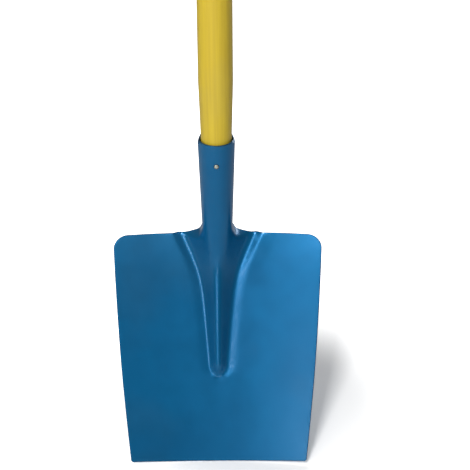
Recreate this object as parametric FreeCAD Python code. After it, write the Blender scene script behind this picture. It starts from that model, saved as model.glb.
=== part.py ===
import FreeCAD, Part
import math
import os

Vector = FreeCAD.Vector
Vector2d = FreeCAD.Base.Vector2d

# A long-handled square mouth shovel, in millimetres. The handle's axis is the Z axis, and the origin
# lies on it where the full-thickness handle begins to taper towards the socket. The blade hangs
# below, and its tip swings forward, towards -Y.

# Blade
BLADE_LENGTH = 277.5            # from the top edge to the cutting edge
BLADE_TOP_WIDTH = 252.0         # before the corners are rounded
BLADE_MOUTH_WIDTH = 211.0       # along the cutting edge
BLADE_SIDE_BULGE = 3.0          # how far each side edge bows outwards at half length
TOP_CORNER_RADIUS = 17.0
MOUTH_CORNER_RADIUS = 2.5
DISH_DEPTH = 9.0                # how far the side edges stand forward of the middle
SHEET = 2.0                     # thickness of the steel sheet

# Crank between blade and socket
CRANK_ANGLE = 30.0              # degrees between the handle's axis and the blade
CRANK_LENGTH = 60.0             # stretch of the blade over which the ridge takes up the crank
AXIS_OFFSET = 16.0              # the handle's axis in front of the blade's top edge

# Pressed ridge down the middle of the blade
RIDGE_TOP_HEIGHT = 15.0         # at the end of the crank
RIDGE_LOW_HEIGHT = 7.8          # where the rounded end begins
RIDGE_LENGTH = 160.0            # from the top edge to where the rounded end begins
RIDGE_END_LENGTH = 13.5
RIDGE_TOP_HALF_WIDTH = 21.0
RIDGE_LOW_HALF_WIDTH = 12.2
FLARE_HALF_WIDTH = 47.0         # foot of the ridge at the blade's top edge
FLARE_ROOT_RADIUS = 16.0        # concave foot there
CREST_TOP_RADIUS = 6.0
CREST_LOW_RADIUS = 5.0
FOOT_TOP_RADIUS = 6.0
FOOT_LOW_RADIUS = 4.5
GROOVE_TOP_DEPTH = 2.6          # of the groove along the foot of the ridge, at the top edge
GROOVE_LOW_DEPTH = 1.0          # the same from the end of the crank down
GROOVE_WIDTH = 5.0
SWELLING_HEIGHT = 1.8           # low swelling outside the groove, at the top edge
SWELLING_WIDTH = 14.0
SWELLING_LENGTH = 80.0          # how far down the blade it fades out

# Rolled socket
SOCKET_LENGTH = 134.0           # from the blade's top edge to the mouth
SOCKET_LOW_RADIUS = 17.75       # outside, level with the blade's top edge
SOCKET_MOUTH_RADIUS = 21.8      # outside
SEAM_ANGLE = 3.5                # degrees left open behind
ROLL_LENGTH = 16.0              # stretch above the top edge over which the sheet rolls closed
NECK_FILLET_RADIUS = 9.0

# Handle
HANDLE_LENGTH = 1240.0
HANDLE_RADIUS = 20.0
HANDLE_MOUTH_RADIUS = 18.0      # where the handle enters the socket
TAPER_LENGTH = 71.0             # from the mouth of the socket to the full-thickness handle
HANDLE_END_HEIGHT = 24.0        # lower end of the handle above the blade's top edge
SEAT_CLEARANCE = 0.3
CORE_RADIUS = 13.0
CORE_BORE_RADIUS = 9.0
CORE_CLEARANCE = 0.1
PLUG_LENGTH = 150.0

# End cap
CAP_THICKNESS = 6.0
CAP_EDGE_WIDTH = 2.0            # of its chamfer
CAP_STEM_LENGTH = 35.0
CAP_CLEARANCE = 0.2

# Socket pin
PIN_RADIUS = 2.2
PIN_BELOW_MOUTH = 26.5
PIN_HEAD_RADIUS = 3.2
PIN_HEAD_HEIGHT = 1.1
PIN_CLEARANCE = 0.1

OVERRUN = 10.0                  # how far a cutting tool runs past what it cuts
SEWING_TOLERANCE = 0.01

# Worked out from the sizes above
SHOULDER_Z = -TAPER_LENGTH - SOCKET_LENGTH
MOUTH_Z = -TAPER_LENGTH
HANDLE_END_Z = SHOULDER_Z + HANDLE_END_HEIGHT
HANDLE_TOP_Z = HANDLE_END_Z + HANDLE_LENGTH
PIN_Z = MOUTH_Z - PIN_BELOW_MOUTH
CRANK = math.radians(CRANK_ANGLE)
SOCKET_TAPER = math.atan((SOCKET_MOUTH_RADIUS - SOCKET_LOW_RADIUS) / SOCKET_LENGTH)
RIDGE_END = RIDGE_LENGTH + RIDGE_END_LENGTH

# The blank: rows run down the shovel, from the socket's mouth (negative) to the cutting edge, and
# columns run across it, from the middle to one side edge. The steps are the numbers of spline spans
# from each stop to the next. Patches meet along the lines.
FOOT_COLUMN = FLARE_HALF_WIDTH  # the column that follows the foot of the ridge
TAB_COLUMN = 0.8 * FOOT_COLUMN  # the column that is cut as the edge of the socket's tab
SIDE_COLUMN = 0.75 * FOOT_COLUMN
WING_COLUMN = FOOT_COLUMN + 2 * GROOVE_WIDTH
TAIL_COLUMN = WING_COLUMN + 2 * SWELLING_WIDTH
FILLET_ROW = -1.35 * NECK_FILLET_RADIUS
ROLL_START = -1.5 * ROLL_LENGTH
RIDGE_TURN = RIDGE_LENGTH - RIDGE_END_LENGTH / 2
RIDGE_FADE = RIDGE_END + 2 * GROOVE_WIDTH
ROW_STOPS = (-SOCKET_LENGTH, ROLL_START, -ROLL_LENGTH, 0.0, ROLL_LENGTH / 2, CRANK_LENGTH, RIDGE_TURN,
             RIDGE_FADE, BLADE_LENGTH)
ROW_STEPS = (1, 2, 4, 2, 4, 2, 7, 1)
ROW_LINES = (CRANK_LENGTH / 3, CRANK_LENGTH * 2 / 3, CRANK_LENGTH, (CRANK_LENGTH + RIDGE_TURN) / 2,
             RIDGE_TURN, RIDGE_FADE, BLADE_LENGTH)
COLUMN_STOPS = (0.0, FOOT_COLUMN, WING_COLUMN, TAIL_COLUMN, BLADE_TOP_WIDTH / 2)
COLUMN_STEPS = (10, 3, 2, 1)
TUBE_STRIPS = 5
PROFILE_STEPS = 240


def smooth(share):
    """A share from 0 to 1, eased in and out."""
    share = min(1.0, max(0.0, share))
    return share * share * (3 - 2 * share)


def between(low, high, share):
    return low + (high - low) * min(1.0, max(0.0, share))


def socket_radius(height):
    """Outside radius of the socket at a height above the blade's top edge."""
    return SOCKET_LOW_RADIUS + height * math.tan(SOCKET_TAPER)


def blade_half_width(down):
    """Half the blade's width at a distance down from its top edge; the sides bow outwards."""
    share = down / BLADE_LENGTH
    straight = BLADE_TOP_WIDTH / 2 + (BLADE_MOUTH_WIDTH - BLADE_TOP_WIDTH) / 2 * share
    return straight + 4 * BLADE_SIDE_BULGE * share * (1 - share)


def ridge_end_share(down):
    """1 on the ridge, falling to 0 over its rounded end, as a quarter round does."""
    past = min(1.0, max(0.0, (down - RIDGE_LENGTH) / RIDGE_END_LENGTH))
    return 1 - past * past


def foot_half_width(down):
    """Half-width of the ridge at its foot, with the flare at the top of the blade."""
    slope = (RIDGE_LOW_HALF_WIDTH - RIDGE_TOP_HALF_WIDTH) / (RIDGE_LENGTH - CRANK_LENGTH)
    straight = RIDGE_LOW_HALF_WIDTH + slope * (min(down, RIDGE_LENGTH) - RIDGE_LENGTH)
    at_top = RIDGE_LOW_HALF_WIDTH - slope * RIDGE_LENGTH
    flare = (FLARE_HALF_WIDTH - at_top) * max(0.0, 1 - down / CRANK_LENGTH) ** 1.08
    return (straight + flare) * math.sqrt(ridge_end_share(down))


def groove_depth(down):
    """How far the sheet dips behind the blade along the foot of the ridge."""
    return between(GROOVE_TOP_DEPTH, GROOVE_LOW_DEPTH, down / CRANK_LENGTH)


def crest_forward(down):
    """How far the ridge's crest stands in front of the blade, at a distance down the blade."""
    start = (AXIS_OFFSET + SOCKET_LOW_RADIUS) * math.sin(CRANK)
    start_height = (AXIS_OFFSET + SOCKET_LOW_RADIUS) * math.cos(CRANK)
    start_slope = -math.tan(CRANK + SOCKET_TAPER)
    end_slope = (RIDGE_LOW_HEIGHT - RIDGE_TOP_HEIGHT) / (RIDGE_LENGTH - CRANK_LENGTH)
    if down <= start:
        return start_height + start_slope * (down - start)
    if down >= CRANK_LENGTH:
        level = RIDGE_LOW_HEIGHT + end_slope * (min(down, RIDGE_LENGTH) - RIDGE_LENGTH)
        return level * ridge_end_share(down) - groove_depth(down) * (1 - ridge_end_share(down))
    span = CRANK_LENGTH - start
    s = (down - start) / span
    return (start_height * (2 * s**3 - 3 * s**2 + 1) + start_slope * span * (s**3 - 2 * s**2 + s)
            + RIDGE_TOP_HEIGHT * (3 * s**2 - 2 * s**3) + end_slope * span * (s**3 - s**2))


def section_tilt(row):
    """Tilt of a row's plane from square to the blade; square to the handle up to the top edge."""
    return CRANK * (1 - min(1.0, max(0.0, row / CRANK_LENGTH)))


def crest_height(row):
    """Height of the crest over the back of the sheet's base line, within a row's own plane."""
    if row <= 0:
        return AXIS_OFFSET + socket_radius(-row)
    if row >= CRANK_LENGTH:
        return crest_forward(row)
    tilt = section_tilt(row)
    low, high = 0.0, AXIS_OFFSET + SOCKET_MOUTH_RADIUS
    for _ in range(40):
        middle = (low + high) / 2
        if middle * math.cos(tilt) < crest_forward(row + middle * math.sin(tilt)):
            low = middle
        else:
            high = middle
    return low


def arch(row):
    """Slope, crest radius, foot radius and length along the sheet of half the ridge's section."""
    row = max(0.0, row)
    height, half_width = crest_height(row) + groove_depth(row), foot_half_width(row)
    crank_share, ridge_share = row / CRANK_LENGTH, (row - CRANK_LENGTH) / (RIDGE_LENGTH - CRANK_LENGTH)
    crest = between(SOCKET_LOW_RADIUS, CREST_TOP_RADIUS, crank_share) if row < CRANK_LENGTH else (
        between(CREST_TOP_RADIUS, CREST_LOW_RADIUS, ridge_share))
    foot = between(FLARE_ROOT_RADIUS, FOOT_TOP_RADIUS, crank_share) if row < CRANK_LENGTH else (
        between(FOOT_TOP_RADIUS, FOOT_LOW_RADIUS, ridge_share))
    if height <= 0 or half_width <= 0:
        return 0.0, crest, foot, 0.0
    # The two rounds are limited to what fits into the section's width and height.
    fit = min(1.0, (half_width**2 + height**2) / (2 * height * (crest + foot)))
    crest, foot = crest * fit, foot * fit
    rounds = crest + foot
    flank = math.sqrt(max(0.0, half_width**2 + (rounds - height)**2 - rounds**2))
    slope = math.atan2(half_width, rounds - height) - math.atan2(flank, rounds)
    return slope, crest, foot, rounds * slope + flank


def half_section(row):
    """The right half of a row's section as places (across, forward) at even shares of its length,
    how far it is rolled up, from 0 to 1, and how much its poles are spread about the socket's axis."""
    slope, crest, foot, length = arch(row)
    rolled = 1 - smooth((row + ROLL_LENGTH) / ROLL_LENGTH)
    radius = socket_radius(max(0.0, -row))
    tab = (math.pi - math.radians(SEAM_ANGLE / 2)) * radius * FOOT_COLUMN / TAB_COLUMN
    reach = length + RIDGE_LOW_HALF_WIDTH * (1 - math.sqrt(ridge_end_share(row)))
    reach = between(reach, tab, rolled)
    across, forward, places = 0.0, crest_height(row), []
    step = reach / PROFILE_STEPS
    for i in range(PROFILE_STEPS + 1):
        places.append((across, forward))
        along = (i + 0.5) * step
        open_turn = max(0.0, min(along / crest, slope, (length - along) / foot))
        turn = between(open_turn, along / radius, rolled)
        across += step * math.cos(turn)
        forward -= step * math.sin(turn)
    # A cubic spline runs inside its poles, so those of the closed ring stand a little further out.
    swell = 1 + rolled * (3 / (2 + math.cos(reach / radius / COLUMN_STEPS[0])) - 1)
    places = [(x * swell, AXIS_OFFSET + (f - AXIS_OFFSET) * swell) for x, f in places]
    return places, rolled, swell


def dish(across, row):
    """How far the blade's sheet comes forward: out of the groove round the ridge, over the swelling
    beside it, and by the blade's dish."""
    down = max(0.0, row)
    beside = math.hypot(max(0.0, across - foot_half_width(down)), max(0.0, row - RIDGE_END))
    swelling = SWELLING_HEIGHT * (1 - smooth(down / SWELLING_LENGTH)) * math.exp(-(beside / SWELLING_WIDTH)**2)
    risen = (groove_depth(row) + swelling) * (1 - math.exp(-(beside / GROOVE_WIDTH)**2))
    return risen + DISH_DEPTH * (across / blade_half_width(down))**2


def place_in(places, column):
    """Across and forward of a column in a row's section, up to the foot of the ridge."""
    where = min(1.0, column / FOOT_COLUMN) * PROFILE_STEPS
    index = min(PROFILE_STEPS - 1, int(where))
    (x0, f0), (x1, f1) = places[index], places[index + 1]
    return x0 + (x1 - x0) * (where - index), f0 + (f1 - f0) * (where - index)


def open_place(row, column, places):
    """A place on the face of the sheet where it isn't rolled, on the right half."""
    across, forward = place_in(places, column)
    if column > FOOT_COLUMN:
        wing = (column - FOOT_COLUMN) / (BLADE_TOP_WIDTH / 2 - FOOT_COLUMN)
        across += wing * (blade_half_width(max(0.0, row)) - across)
    forward += dish(across, row)
    lean = CRANK - section_tilt(row)
    return Vector(across, AXIS_OFFSET - row * math.sin(CRANK) - forward * math.cos(lean),
                  SHOULDER_Z - row * math.cos(CRANK) + forward * math.sin(lean))


def sheet_place(row, column, places, rolled, open_places):
    """A place on the face of the sheet, for a row and a column of the blank. Above the top edge the
    wings stay open, where nothing is left of them, so that the roll doesn't bend the edge."""
    place = open_place(row, abs(column), open_places)
    if row < 0:
        across, forward = place_in(places, abs(column))
        forward += dish(across, row) * (1 - rolled)
        in_roll = Vector(across, AXIS_OFFSET - forward, SHOULDER_Z - row)
        place = in_roll + (place - in_roll) * smooth((abs(column) - FOOT_COLUMN) / (WING_COLUMN - FOOT_COLUMN))
    return Vector(-place.x if column < 0 else place.x, place.y, place.z)


def knot_line(stops, steps):
    """Knots of a spline: the given stops, with a number of even steps from each to the next."""
    line = []
    for start, end, count in zip(stops, stops[1:], steps):
        line += [start + (end - start) * i / count for i in range(count)]
    return line + [stops[-1]]


def pole_places(knots):
    """Where the poles of a cubic spline with these knots lie, so that straight lines stay even."""
    full = [knots[0]] * 3 + knots + [knots[-1]] * 3
    return [sum(full[i + 1:i + 4]) / 3 for i in range(len(full) - 4)]


def spline_face(poles, row_knots, column_knots):
    """A cubic spline surface over the blank, from its net of poles."""
    surface = Part.BSplineSurface()
    row_mults = [4] + [1] * (len(row_knots) - 2) + [4]
    column_mults = [4] + [1] * (len(column_knots) - 2) + [4]
    surface.buildFromPolesMultsKnots(poles, row_mults, column_mults, row_knots, column_knots,
                                     False, False, 3, 3)
    return surface


def behind(poles, distances):
    """The same net, with each line of poles moved back by its distance along the net's normals."""
    moved = []
    for i, (line, distance) in enumerate(zip(poles, distances)):
        above, below = poles[max(0, i - 1)], poles[min(len(poles) - 1, i + 1)]
        moved_line = []
        for j, pole in enumerate(line):
            left, right = line[max(0, j - 1)], line[min(len(line) - 1, j + 1)]
            normal = (right - left).cross(below[j] - above[j])
            normal.normalize()
            moved_line.append(pole + normal * distance)
        moved.append(moved_line)
    return moved


def corner_round(before, corner, after, radius):
    """Start, middle and end of the arc that rounds one corner of an outline on the blank."""
    to_before, to_after = before - corner, after - corner
    to_before.normalize()
    to_after.normalize()
    half = math.acos(max(-1.0, min(1.0, to_before.dot(to_after)))) / 2
    reach = radius / math.tan(half)
    bisector = to_before + to_after
    bisector.normalize()
    centre = corner + bisector * (radius / math.sin(half))
    return corner + to_before * reach, centre - bisector * radius, corner + to_after * reach


def blank_patches():
    """The flat blank in patches, each a loop of corners: row, column, radius, and whether the sheet
    is cut along the line to the next corner."""
    half = BLADE_TOP_WIDTH / 2
    tube_rows = [between(-SOCKET_LENGTH, ROLL_START, i / TUBE_STRIPS) for i in range(TUBE_STRIPS + 1)]
    tube = [[(top, 0.0, 0, top == -SOCKET_LENGTH), (top, TAB_COLUMN, 0, True), (low, TAB_COLUMN, 0, False),
             (low, 0.0, 0, False)] for top, low in zip(tube_rows, tube_rows[1:])]
    roll = [(ROLL_START, 0.0, 0, False), (ROLL_START, TAB_COLUMN, 0, True), (FILLET_ROW, TAB_COLUMN, 0, False),
            (FILLET_ROW, SIDE_COLUMN, 0, False), (FILLET_ROW, 0.0, 0, False)]
    saddle = [(FILLET_ROW, SIDE_COLUMN, 0, False), (FILLET_ROW, TAB_COLUMN, 0, True),
              (0, TAB_COLUMN, NECK_FILLET_RADIUS, True), (0, WING_COLUMN, 0, False),
              (ROW_LINES[0], WING_COLUMN, 0, False), (ROW_LINES[0], SIDE_COLUMN, 0, False)]
    right = [*tube, roll, saddle]
    for inner, outer, above in ((0.0, SIDE_COLUMN, (FILLET_ROW,)), (SIDE_COLUMN, WING_COLUMN, ()),
                                (WING_COLUMN, TAIL_COLUMN, (0.0,)), (TAIL_COLUMN, half, (0.0,))):
        rows = above + ROW_LINES
        for top, low in zip(rows, rows[1:]):
            top_radius = TOP_CORNER_RADIUS if (top, outer) == (0.0, half) else 0
            low_radius = MOUTH_CORNER_RADIUS if (low, outer) == (BLADE_LENGTH, half) else 0
            right.append([(top, inner, 0, top == 0.0), (top, outer, top_radius, outer == half),
                          (low, outer, low_radius, low == BLADE_LENGTH), (low, inner, 0, False)])
    left = [[(row, -column, radius, cut) for row, column, radius, cut in patch] for patch in right]
    return right + left


def stretches(loop):
    """The straight and round stretches of a patch's loop, each with whether the sheet is cut there."""
    points = [Vector(row, column, 0) for row, column, _, _ in loop]
    ends = []
    for i, (_, _, radius, _) in enumerate(loop):
        before, after = points[i - 1], points[(i + 1) % len(loop)]
        ends.append(corner_round(before, points[i], after, radius) if radius else (points[i],))
    found = []
    for i, (_, _, radius, cut) in enumerate(loop):
        if radius:
            found.append((ends[i], True))
        found.append(((ends[i][-1], ends[(i + 1) % len(loop)][0]), cut))
    return found


def edge_on(surface, stretch):
    """One stretch of the flat blank laid onto a face of the formed sheet."""
    flat = [Vector2d(point.x, point.y) for point in stretch]
    if len(flat) == 2:
        return Part.Geom2d.Line2dSegment(*flat).toShape(surface)
    circle = Part.Arc(*stretch).toShape().Curve
    centre = Vector2d(circle.Center.x, circle.Center.y)
    start, end = (math.atan2(point.y - centre.y, point.x - centre.x) for point in (flat[0], flat[-1]))
    turn = (end - start + math.pi) % (2 * math.pi) - math.pi
    full = Part.Geom2d.Circle2d(centre, circle.Radius)
    return Part.Geom2d.ArcOfCircle2d(full, min(start, start + turn), max(start, start + turn)).toShape(surface)


def trimmed_face(surface, edges):
    """One patch of a face of the sheet."""
    face = Part.Face(surface, Part.Wire(Part.__sortEdges__(edges)))
    face.validate()
    return face


def formed_sheet():
    """The head's sheet: two like spline faces a sheet apart, trimmed by one outline."""
    row_knots = knot_line(ROW_STOPS, ROW_STEPS)
    right = knot_line(COLUMN_STOPS, COLUMN_STEPS)
    column_knots = [-column for column in reversed(right[1:])] + right
    poles, distances = [], []
    for row in pole_places(row_knots):
        places, rolled, swell = half_section(row)
        open_places = half_section(max(0.0, row))[0]
        poles.append([sheet_place(row, column, places, rolled, open_places)
                      for column in pole_places(column_knots)])
        distances.append(SHEET * swell)
    front = spline_face(poles, row_knots, column_knots)
    back = spline_face(behind(poles, distances), row_knots, column_knots)
    faces = []
    for loop in blank_patches():
        front_edges = [edge_on(front, stretch) for stretch, _ in stretches(loop)]
        back_edges = [edge_on(back, stretch) for stretch, _ in stretches(loop)]
        faces += [trimmed_face(front, front_edges), trimmed_face(back, back_edges)]
        faces += [Part.makeRuledSurface(a, b)
                  for a, b, (_, cut) in zip(front_edges, back_edges, stretches(loop)) if cut]
    sewn = Part.Compound(faces)
    sewn.sewShape(SEWING_TOLERANCE)
    solid = Part.Solid(sewn.Shells[0])
    if solid.Volume < 0:
        solid.reverse()
    return solid


def turned(profile):
    """A solid turned about the handle's axis from a closed profile of (radius, height) corners."""
    corners = [Vector(radius, 0, height) for radius, height in profile]
    return Part.Face(Part.makePolygon(corners + corners[:1])).revolve(Vector(), Vector(0, 0, 1), 360)


def across_pin(radius, front, rear):
    """A cylinder along the socket pin's axis, between two distances in front of and behind it."""
    return Part.makeCylinder(radius, front + rear, Vector(0, -front, PIN_Z), Vector(0, 1, 0))


def pin_hole():
    reach = SOCKET_MOUTH_RADIUS + OVERRUN
    return across_pin(PIN_RADIUS + PIN_CLEARANCE, reach, reach)


def socket_cone():
    """All that lies within the socket's outside, as a cone."""
    return turned([(0, SHOULDER_Z), (SOCKET_LOW_RADIUS, SHOULDER_Z), (SOCKET_MOUTH_RADIUS, MOUTH_Z),
                   (0, MOUTH_Z)])


def head():
    """Blade, ridge and rolled socket: one pressed sheet, drilled for the pin."""
    return formed_sheet().cut(pin_hole())


def handle_sheath():
    """The handle's moulded skin: wedged in the socket, straight at its mouth, then widening to full size."""
    bore = CORE_RADIUS + CORE_CLEARANCE
    inset = SHEET + SEAT_CLEARANCE
    low_radius = socket_radius(HANDLE_END_HEIGHT) - inset
    seat_height = (HANDLE_MOUTH_RADIUS + inset - SOCKET_LOW_RADIUS) / math.tan(SOCKET_TAPER)
    profile = [(HANDLE_RADIUS, 0), (HANDLE_RADIUS, HANDLE_TOP_Z), (bore, HANDLE_TOP_Z), (bore, HANDLE_END_Z),
               (low_radius, HANDLE_END_Z), (HANDLE_MOUTH_RADIUS, SHOULDER_Z + seat_height),
               (HANDLE_MOUTH_RADIUS, MOUTH_Z)]
    return turned(profile).cut(pin_hole())


def handle_core():
    """The glass-fibre tube that carries the load."""
    tube = turned([(CORE_BORE_RADIUS, HANDLE_END_Z), (CORE_RADIUS, HANDLE_END_Z),
                   (CORE_RADIUS, HANDLE_TOP_Z), (CORE_BORE_RADIUS, HANDLE_TOP_Z)])
    return tube.cut(pin_hole())


def core_plug():
    """Fills the tube's lower end, where the socket wedges it and the pin goes through."""
    radius = CORE_BORE_RADIUS - CORE_CLEARANCE
    plug = turned([(0, HANDLE_END_Z), (radius, HANDLE_END_Z),
                   (radius, HANDLE_END_Z + PLUG_LENGTH), (0, HANDLE_END_Z + PLUG_LENGTH)])
    return plug.cut(pin_hole())


def end_cap():
    """Rests on the handle's top end, with a stem in the tube."""
    cap = Part.makeCylinder(HANDLE_RADIUS, CAP_THICKNESS, Vector(0, 0, HANDLE_TOP_Z))
    rim = [edge for edge in cap.Edges if edge.BoundBox.ZMin > HANDLE_TOP_Z + CAP_THICKNESS / 2]
    stem = Part.makeCylinder(CORE_BORE_RADIUS - CAP_CLEARANCE, CAP_STEM_LENGTH,
                             Vector(0, 0, HANDLE_TOP_Z - CAP_STEM_LENGTH))
    return cap.makeChamfer(CAP_EDGE_WIDTH, rim).fuse(stem)


def pin_head(side):
    """A low round head on the socket's wall: in front for side -1, behind for side 1."""
    wall = socket_radius(PIN_Z - SHOULDER_Z)
    out = Vector(0, side, 0)
    base = Part.makeCylinder(PIN_HEAD_RADIUS, SHEET, out * (wall - SHEET) + Vector(0, 0, PIN_Z), out)
    crown = Part.makeCone(PIN_HEAD_RADIUS, PIN_RADIUS, PIN_HEAD_HEIGHT, out * wall + Vector(0, 0, PIN_Z), out)
    return base.fuse(crown).cut(socket_cone())


def socket_pin():
    """Goes through socket and handle, with a head closed down on each side."""
    reach = socket_radius(PIN_Z - SHOULDER_Z) + PIN_HEAD_HEIGHT / 2
    return across_pin(PIN_RADIUS, reach, reach).fuse([pin_head(-1), pin_head(1)]).removeSplitter()


os.makedirs("parts", exist_ok=True)
for node in (head, handle_sheath, handle_core, core_plug, end_cap, socket_pin):
    node().exportStep("parts/" + node.__name__ + ".step")
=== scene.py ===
import bpy
import bmesh
import math
from mathutils import Matrix, Vector


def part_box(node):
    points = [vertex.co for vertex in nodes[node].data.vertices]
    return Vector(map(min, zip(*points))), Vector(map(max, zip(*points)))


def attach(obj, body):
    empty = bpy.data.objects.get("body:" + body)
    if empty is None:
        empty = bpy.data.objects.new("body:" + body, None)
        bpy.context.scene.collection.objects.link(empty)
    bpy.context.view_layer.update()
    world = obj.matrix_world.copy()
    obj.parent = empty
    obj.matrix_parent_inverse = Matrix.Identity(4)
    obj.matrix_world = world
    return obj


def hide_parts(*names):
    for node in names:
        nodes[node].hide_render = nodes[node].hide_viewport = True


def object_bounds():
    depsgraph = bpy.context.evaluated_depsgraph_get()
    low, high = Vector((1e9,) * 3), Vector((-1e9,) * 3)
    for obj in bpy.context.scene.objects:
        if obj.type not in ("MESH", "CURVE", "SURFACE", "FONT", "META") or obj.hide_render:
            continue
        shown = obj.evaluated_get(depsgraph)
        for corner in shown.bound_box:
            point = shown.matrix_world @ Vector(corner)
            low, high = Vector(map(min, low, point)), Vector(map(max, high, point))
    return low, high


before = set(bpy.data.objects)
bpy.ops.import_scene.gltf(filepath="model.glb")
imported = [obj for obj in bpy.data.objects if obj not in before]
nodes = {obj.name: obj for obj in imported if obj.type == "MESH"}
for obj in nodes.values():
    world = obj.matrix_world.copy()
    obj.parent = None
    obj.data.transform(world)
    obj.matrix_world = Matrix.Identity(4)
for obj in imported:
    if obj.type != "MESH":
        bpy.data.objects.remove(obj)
cad_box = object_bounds()
scene = bpy.context.scene
scene.view_settings.view_transform = "Standard"

# Camera
# It looks square at the blade, a little from above, and cuts the handle off at the frame's upper edge.
CRANK = math.radians(30)
BLADE_BACK = Vector((0, 0.016, -0.205))
DOWN_BLADE = Vector((0, -math.sin(CRANK), -math.cos(CRANK)))
OFF_BLADE = Vector((0, -math.cos(CRANK), math.sin(CRANK)))
ASIDE = Vector((1, 0, 0))
CAMERA_DISTANCE = 1.8
CAMERA_ASIDE = 0.021
CAMERA_DOWN = 0.0042
FOCAL_PIXELS = 1485.4
PICTURE_WIDTH = 470
SENSOR_WIDTH = 36.0
CAMERA_ROLL = math.radians(-0.35)

camera_data = bpy.data.cameras.new("camera")
camera_data.sensor_width = SENSOR_WIDTH
camera_data.lens = SENSOR_WIDTH * FOCAL_PIXELS / PICTURE_WIDTH
camera = bpy.data.objects.new("camera", camera_data)
turn = Matrix((ASIDE, -DOWN_BLADE, OFF_BLADE)).transposed() @ Matrix.Rotation(CAMERA_ROLL, 3, "Z")
place = BLADE_BACK + DOWN_BLADE * CAMERA_DOWN + OFF_BLADE * CAMERA_DISTANCE + ASIDE * CAMERA_ASIDE
camera.matrix_world = Matrix.Translation(place) @ turn.to_4x4()
scene.collection.objects.link(camera)
scene.camera = camera


# Floor
# A plain white floor under the cutting edge. It keeps the shovel's shadow, and to the camera it glows
# whiter the further it is from the shadow's place, so a painted grey shade lies round the shadow.
FLOOR_REACH = 8.0
FLOOR_GAP = 0.0005
SHADOW_PLACE = (0.05, -0.02)
SHADOW_REACH = (0.12, 0.28)
FLOOR_GLOW = (0.03, 1.0)
FLOOR_SHADE = (1.45, 1.45, 1.45, 1)
FLOOR_PALE = (0.8, 0.8, 0.8, 1)


def put(tree, kind, inputs=None, **settings):
    """Adds a shader node; its inputs are given as numbers, colours or other nodes' outputs."""
    node = tree.nodes.new("ShaderNode" + kind)
    for name, value in settings.items():
        setattr(node, name, value)
    for name, value in (inputs or {}).items():
        if isinstance(value, bpy.types.NodeSocket):
            tree.links.new(value, node.inputs[name])
        else:
            node.inputs[name].default_value = value
    return node


def empty_tree(owner):
    """Gives a material or a world an empty node tree, and returns it."""
    owner.use_nodes = True
    owner.node_tree.nodes.clear()
    return owner.node_tree


floor_mesh = bpy.data.meshes.new("floor")
form = bmesh.new()
bmesh.ops.create_grid(form, x_segments=1, y_segments=1, size=FLOOR_REACH)
bmesh.ops.translate(form, verts=form.verts, vec=(0, 0, cad_box[0][2] - FLOOR_GAP))
form.to_mesh(floor_mesh)
form.free()
floor = bpy.data.objects.new("floor", floor_mesh)
scene.collection.objects.link(floor)

white = bpy.data.materials.new("white_floor")
tree = empty_tree(white)
where = put(tree, "TexCoord").outputs["Object"]
shadow_place = (*SHADOW_PLACE, cad_box[0][2] - FLOOR_GAP)
# Painted shade: the floor's glow is lowest near the shadow's place and grows away from it.
away = put(tree, "VectorMath", {0: where, 1: shadow_place}, operation="DISTANCE").outputs["Value"]
glow = put(tree, "MapRange", {"Value": away, "From Min": SHADOW_REACH[0], "From Max": SHADOW_REACH[1],
                              "To Min": FLOOR_GLOW[0], "To Max": FLOOR_GLOW[1]},
           interpolation_type="SMOOTHSTEP").outputs["Result"]
lit = put(tree, "BsdfDiffuse", {"Color": FLOOR_SHADE}).outputs[0]
glowing = put(tree, "Emission", {"Strength": glow}).outputs[0]
seen = put(tree, "AddShader", {0: lit, 1: glowing}).outputs[0]
plain = put(tree, "BsdfDiffuse", {"Color": FLOOR_PALE}).outputs[0]
either = put(tree, "MixShader", {0: put(tree, "LightPath").outputs["Is Camera Ray"], 1: plain, 2: seen})
put(tree, "OutputMaterial", {"Surface": either.outputs[0]})
floor_mesh.materials.append(white)


# Light
# The room is white to the camera, and dim to the shovel. A small soft lamp stands above the camera's left
# shoulder, a narrow one below it, a broad one further left, a weak one low in front, and two behind.
ROOM_LIGHT = 0.07
ROOM_GLOSS = 0.11
LAMP_AIM = Vector((0, -0.05, -0.3))
LAMP_DISTANCE = 2.6

world = bpy.data.worlds.new("room")
scene.world = world
tree = empty_tree(world)
ray = put(tree, "LightPath").outputs
mirrored = put(tree, "Math", {0: ray["Is Glossy Ray"], 1: ray["Is Transmission Ray"]},
               operation="MAXIMUM").outputs[0]
dim = put(tree, "MapRange", {"Value": mirrored, "To Min": ROOM_LIGHT,
                             "To Max": ROOM_GLOSS}).outputs["Result"]
level = put(tree, "MapRange", {"Value": ray["Is Camera Ray"], "To Min": dim,
                               "To Max": 1.0}).outputs["Result"]
room = put(tree, "Background", {"Color": (1, 1, 1, 1), "Strength": level}).outputs[0]
put(tree, "OutputWorld", {"Surface": room})


def soft_lamp(name, azimuth, elevation, size, power):
    """A soft lamp that looks at the shovel from an azimuth and elevation in degrees."""
    data = bpy.data.lights.new(name, "AREA")
    data.shape = "RECTANGLE"
    data.size, data.size_y = size
    data.energy = power
    lamp = bpy.data.objects.new(name, data)
    azimuth, elevation = math.radians(azimuth), math.radians(elevation)
    away = Vector((math.sin(azimuth) * math.cos(elevation), -math.cos(azimuth) * math.cos(elevation),
                   math.sin(elevation)))
    lamp.location = LAMP_AIM + away * LAMP_DISTANCE
    lamp.rotation_euler = away.to_track_quat("Z", "Y").to_euler()
    scene.collection.objects.link(lamp)


soft_lamp("key_lamp", -15, 47, (0.45, 0.45), 32)
soft_lamp("side_lamp", -34, 26, (1.2, 0.7), 15)
soft_lamp("strip_lamp", -17, 22, (0.25, 0.35), 3)
soft_lamp("low_lamp", -6, 7, (1.0, 0.4), 4)
soft_lamp("back_lamp", 180, 50, (1.2, 0.8), 12)
soft_lamp("fill_lamp", 150, 12, (1.6, 0.8), 15)
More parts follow.
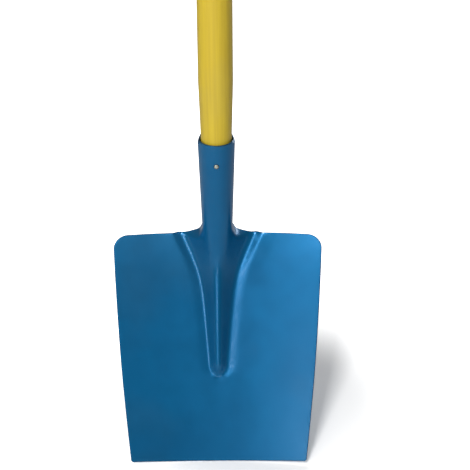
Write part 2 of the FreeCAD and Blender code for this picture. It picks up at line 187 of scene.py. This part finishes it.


# Head
# Blade, ridge and rolled socket are one sheet of steel, 2 mm thick, formed in a press and drilled for the
# pin. It is dipped in blue enamel, which lies a little unevenly and is glossy. Along its sharp edges a
# painted shade darkens it.
MILLIMETRE = 0.001
WELD_DISTANCE = 0.00001
CUT_EDGE_ANGLE = math.radians(40)
EDGE_ROUND = 0.0024
NECK_DROP = 0.0045
NECK_INNER = (0.0185, 0.0225)
NECK_OUTER = (0.052, 0.022)
NECK_DEPTH = (0.024, -0.010)
ENAMEL_DEEP = (0.001, 0.118, 0.285, 1)
ENAMEL_THIN = (0.001, 0.144, 0.34, 1)
ENAMEL_HAZE = (0.020, 0.128, 0.26, 1)
ENAMEL_EDGE_SHADE = (0.001, 0.045, 0.10, 1)


def finish_piece(name, form, node, material):
    """Makes an object of a form, smooth but for its sharp edges, in place of a CAD node."""
    for face in form.faces:
        face.smooth = True
    for edge in form.edges:
        edge.smooth = edge.calc_face_angle(0.0) < CUT_EDGE_ANGLE
    mesh = bpy.data.meshes.new(name)
    form.to_mesh(mesh)
    form.free()
    mesh.materials.append(material)
    piece = bpy.data.objects.new(name, mesh)
    scene.collection.objects.link(piece)
    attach(piece, "root")
    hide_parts(node)


def effect_group(name, inputs):
    """A node group for a shared effect, with named number inputs and one output, and its two ends."""
    group = bpy.data.node_groups.new(name, "ShaderNodeTree")
    for name, value in inputs.items():
        socket = group.interface.new_socket(name, in_out="INPUT", socket_type="NodeSocketFloat")
        socket.default_value = value
    group.interface.new_socket("Value", in_out="OUTPUT", socket_type="NodeSocketFloat")
    given = group.nodes.new("NodeGroupInput").outputs
    return group, given, group.nodes.new("NodeGroupOutput").inputs["Value"]


def effect(tree, group, **inputs):
    """Puts a shared effect into a material, and returns its value."""
    return put(tree, "Group", inputs, node_tree=group).outputs["Value"]


def blend(tree, share, first, second):
    """Mixes two colours by a share."""
    return put(tree, "Mix", {0: share, 6: first, 7: second}, data_type="RGBA").outputs[2]


def eased(value, start, end):
    """Goes gently from 0 to 1 as a value goes from start to end."""
    share = min(1.0, max(0.0, (value - start) / (end - start)))
    return share * share * (3 - 2 * share)


# Soft patches, of a size in millimetres across, and stretched along the handle's axis.
patches, given, result = effect_group("soft_patches", {"Size": 30.0, "Stretch": 1.0, "Low": 0.0,
                                                       "High": 1.0})
scale = put(patches, "Math", {0: 1 / MILLIMETRE, 1: given["Size"]}, operation="DIVIDE").outputs[0]
along = put(patches, "Math", {0: 1.0, 1: given["Stretch"]}, operation="DIVIDE").outputs[0]
squeeze = put(patches, "CombineXYZ", {"X": 1.0, "Y": 1.0, "Z": along}).outputs[0]
where = put(patches, "VectorMath", {0: put(patches, "TexCoord").outputs["Object"], 1: squeeze},
            operation="MULTIPLY").outputs["Vector"]
cloud = put(patches, "TexNoise", {"Vector": where, "Scale": scale, "Detail": 3.0}).outputs["Fac"]
level = put(patches, "MapRange", {"Value": cloud, "From Min": 0.25, "From Max": 0.75,
                                  "To Min": given["Low"], "To Max": given["High"]},
            interpolation_type="SMOOTHSTEP").outputs["Result"]
patches.links.new(level, result)

# How near a place is to a sharp edge, from 0 to 1, over a width in millimetres.
edges, given, result = effect_group("near_edge", {"Width": 1.0})
width = put(edges, "Math", {0: given["Width"], 1: MILLIMETRE}, operation="MULTIPLY").outputs[0]
around = put(edges, "Bevel", {"Radius": width}).outputs[0]
facing = put(edges, "VectorMath", {0: around, 1: put(edges, "NewGeometry").outputs["Normal"]},
             operation="DOT_PRODUCT").outputs["Value"]
near = put(edges, "MapRange", {"Value": facing, "From Min": 0.99, "From Max": 0.80}).outputs["Result"]
edges.links.new(near, result)

enamel = bpy.data.materials.new("blue_enamel")
tree = empty_tree(enamel)
colour = blend(tree, effect(tree, patches, Size=70.0, Stretch=1.6), ENAMEL_DEEP, ENAMEL_THIN)
colour = blend(tree, effect(tree, patches, Size=150.0, Low=-0.40, High=0.45), colour, ENAMEL_HAZE)
# Painted shade: the enamel is darker along sharp edges, as if the edge faces lay in shadow.
colour = blend(tree, effect(tree, edges, Width=1.6), colour, ENAMEL_EDGE_SHADE)
gloss = effect(tree, patches, Size=22.0, Low=0.285, High=0.325)
rounded = put(tree, "Bevel", {"Radius": EDGE_ROUND}).outputs[0]
bump = put(tree, "Bump", {"Strength": 0.06, "Distance": 0.0003, "Height": effect(tree, patches, Size=3.0),
                          "Normal": rounded}).outputs["Normal"]
paint = put(tree, "BsdfPrincipled", {"Base Color": colour, "Roughness": gloss, "Metallic": 0.4,
                                     "Specular IOR Level": 0.1, "Coat Weight": 0.45,
                                     "Coat Roughness": 0.18, "Normal": bump})
put(tree, "OutputMaterial", {"Surface": paint.outputs[0]})

# Beside the socket the press draws the top edge down into a tight fillet, which is shaped here. The bounds
# are distances aside from the middle and below the top edge.
form = bmesh.new()
form.from_mesh(nodes["head"].data)
bmesh.ops.remove_doubles(form, verts=form.verts, dist=WELD_DISTANCE)
for vert in form.verts:
    aside, below = abs(vert.co.x), (vert.co - BLADE_BACK).dot(DOWN_BLADE)
    share = eased(aside, *NECK_INNER) * eased(aside, *NECK_OUTER) * eased(below, *NECK_DEPTH)
    vert.co += DOWN_BLADE * NECK_DROP * share
finish_piece("pressed_head", form, "head", enamel)


# Handle sheath
# The yellow skin is hard plastic drawn over the glass-fibre tube, 7 mm thick, and turned down towards the
# socket. It is satin, with fine streaks along it and a few dull marks from handling.
YELLOW_CLEAN = (0.74, 0.545, 0.033, 1)
YELLOW_STREAK = (0.63, 0.44, 0.028, 1)
YELLOW_DULL = (0.60, 0.45, 0.07, 1)

yellow = bpy.data.materials.new("yellow_plastic")
tree = empty_tree(yellow)
streaks = effect(tree, patches, Size=3.0, Stretch=60.0, Low=0.0, High=0.8)
marks = effect(tree, patches, Size=60.0, Stretch=2.0, Low=-0.5, High=0.35)
colour = blend(tree, marks, blend(tree, streaks, YELLOW_CLEAN, YELLOW_STREAK), YELLOW_DULL)
gloss = effect(tree, patches, Size=18.0, Stretch=4.0, Low=0.40, High=0.50)
bump = put(tree, "Bump", {"Strength": 0.10, "Distance": 0.0002,
                          "Height": effect(tree, patches, Size=1.2, Stretch=80.0)}).outputs["Normal"]
plastic = put(tree, "BsdfPrincipled", {"Base Color": colour, "Roughness": gloss, "Normal": bump})
put(tree, "OutputMaterial", {"Surface": plastic.outputs[0]})
nodes["handle_sheath"].material_slots[0].material = yellow


# Handle core
# A tube of glass fibres in resin, drawn in one length. It carries the load inside the yellow skin, and
# its fibres run along it.
FIBRE_PALE = (0.62, 0.58, 0.44, 1)
FIBRE_DARK = (0.40, 0.36, 0.24, 1)

fibre = bpy.data.materials.new("glass_fibre")
tree = empty_tree(fibre)
strands = effect(tree, patches, Size=0.8, Stretch=120.0)
gloss = effect(tree, patches, Size=8.0, Stretch=10.0, Low=0.45, High=0.6)
bump = put(tree, "Bump", {"Strength": 0.2, "Distance": 0.0002, "Height": strands}).outputs["Normal"]
resin = put(tree, "BsdfPrincipled", {"Base Color": blend(tree, strands, FIBRE_DARK, FIBRE_PALE),
                                     "Roughness": gloss, "Normal": bump})
put(tree, "OutputMaterial", {"Surface": resin.outputs[0]})
nodes["handle_core"].material_slots[0].material = fibre


# Core plug
# A solid rod of black nylon pressed into the tube's lower end, so that the socket and the pin don't crush
# it. It is drilled with the tube.
BLACK_MATT = (0.016, 0.016, 0.017, 1)
BLACK_WORN = (0.035, 0.034, 0.033, 1)


def black_plastic(name, grain, roughness):
    """A black moulded plastic, with a grain in millimetres across and its lowest and highest roughness."""
    material = bpy.data.materials.new(name)
    tree = empty_tree(material)
    colour = blend(tree, effect(tree, patches, Size=25.0), BLACK_MATT, BLACK_WORN)
    colour = blend(tree, effect(tree, edges, Width=0.8), colour, BLACK_WORN)
    gloss = effect(tree, patches, Size=9.0, Low=roughness[0], High=roughness[1])
    bump = put(tree, "Bump", {"Strength": 0.25, "Distance": 0.0001,
                              "Height": effect(tree, patches, Size=grain)}).outputs["Normal"]
    plastic = put(tree, "BsdfPrincipled", {"Base Color": colour, "Roughness": gloss, "Normal": bump})
    put(tree, "OutputMaterial", {"Surface": plastic.outputs[0]})
    return material


nodes["core_plug"].material_slots[0].material = black_plastic("plug_plastic", 1.5, (0.5, 0.6))


# End cap
# A moulded black cap closes the handle's top end. Its stem is pressed into the tube, its rim is rounded,
# and its top has a shallow ring and the small pit that the mould's gate leaves.
CAP_PROFILE = ((0.0, -35.0), (7.8, -35.0), (8.8, -33.5), (8.8, 0.0), (20.0, 0.0), (20.0, 3.4), (19.7, 4.5),
               (18.9, 5.4), (17.6, 5.9), (15.0, 6.0), (14.6, 5.6), (13.4, 5.6), (13.0, 6.0), (2.4, 6.0),
               (2.0, 5.4), (0.0, 5.2))
CAP_TOP = 0.006
TURN_STEPS = 64


def turned(profile, turn_axis, place):
    """Spins a profile of (radius, along) points in millimetres about an axis through a place."""
    form = bmesh.new()
    points = [form.verts.new(place + (ASIDE * radius + turn_axis * along) * MILLIMETRE)
              for radius, along in profile]
    lines = [form.edges.new(pair) for pair in zip(points, points[1:])]
    bmesh.ops.spin(form, geom=points + lines, cent=place, axis=turn_axis, dvec=(0, 0, 0),
                   angle=math.tau, steps=TURN_STEPS, use_merge=True, use_duplicate=False)
    bmesh.ops.remove_doubles(form, verts=form.verts, dist=WELD_DISTANCE)
    bmesh.ops.recalc_face_normals(form, faces=form.faces)
    return form


seat = Vector((0, 0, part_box("end_cap")[1][2] - CAP_TOP))
finish_piece("moulded_cap", turned(CAP_PROFILE, Vector((0, 0, 1)), seat), "end_cap",
             black_plastic("cap_plastic", 0.6, (0.38, 0.48)))


# Socket pin
# A steel pin goes through socket and handle, and both its ends are hammered into low domes. It is
# zinc-plated, and the rim of each head is painted darker, as shade round the dome's foot.
PIN_PROFILE = ((0.0, -22.1), (1.1, -22.0), (2.1, -21.75), (2.8, -21.4), (3.2, -20.9), (3.2, -20.6),
               (2.2, -20.6), (2.2, 20.6), (3.2, 20.6), (3.2, 20.9), (2.8, 21.4), (2.1, 21.75), (1.1, 22.0),
               (0.0, 22.1))
ZINC_BRIGHT = (0.62, 0.66, 0.58, 1)
ZINC_DULL = (0.34, 0.33, 0.26, 1)
ZINC_RIM_SHADE = (0.03, 0.05, 0.06, 1)
RIM_SHADE_START = 0.0019
RIM_SHADE_END = 0.0028

low, high = (Vector(corner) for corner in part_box("socket_pin"))
centre = (low + high) / 2

zinc = bpy.data.materials.new("zinc_steel")
tree = empty_tree(zinc)
place = put(tree, "TexCoord").outputs["Object"]
where = put(tree, "Mapping", {"Vector": place, "Location": -centre}).outputs[0]
flat = put(tree, "VectorMath", {0: where, 1: (1, 0, 1)}, operation="MULTIPLY").outputs["Vector"]
away = put(tree, "VectorMath", {0: flat}, operation="LENGTH").outputs["Value"]
# Painted shade: a dark ring round the outer part of each head's dome.
rim_shade = put(tree, "MapRange", {"Value": away, "From Min": RIM_SHADE_START, "From Max": RIM_SHADE_END},
          interpolation_type="SMOOTHSTEP").outputs["Result"]
colour = blend(tree, effect(tree, patches, Size=2.0, Low=0.4, High=1.0), ZINC_DULL, ZINC_BRIGHT)
colour = blend(tree, rim_shade, colour, ZINC_RIM_SHADE)
gloss = effect(tree, patches, Size=1.2, Low=0.32, High=0.5)
bump = put(tree, "Bump", {"Strength": 0.3, "Distance": 0.0002,
                          "Height": effect(tree, patches, Size=1.5)}).outputs["Normal"]
metal = put(tree, "BsdfPrincipled", {"Base Color": colour, "Roughness": gloss, "Metallic": 0.9,
                                     "Normal": bump})
put(tree, "OutputMaterial", {"Surface": metal.outputs[0]})

finish_piece("domed_pin", turned(PIN_PROFILE, Vector((0, 1, 0)), centre), "socket_pin", zinc)
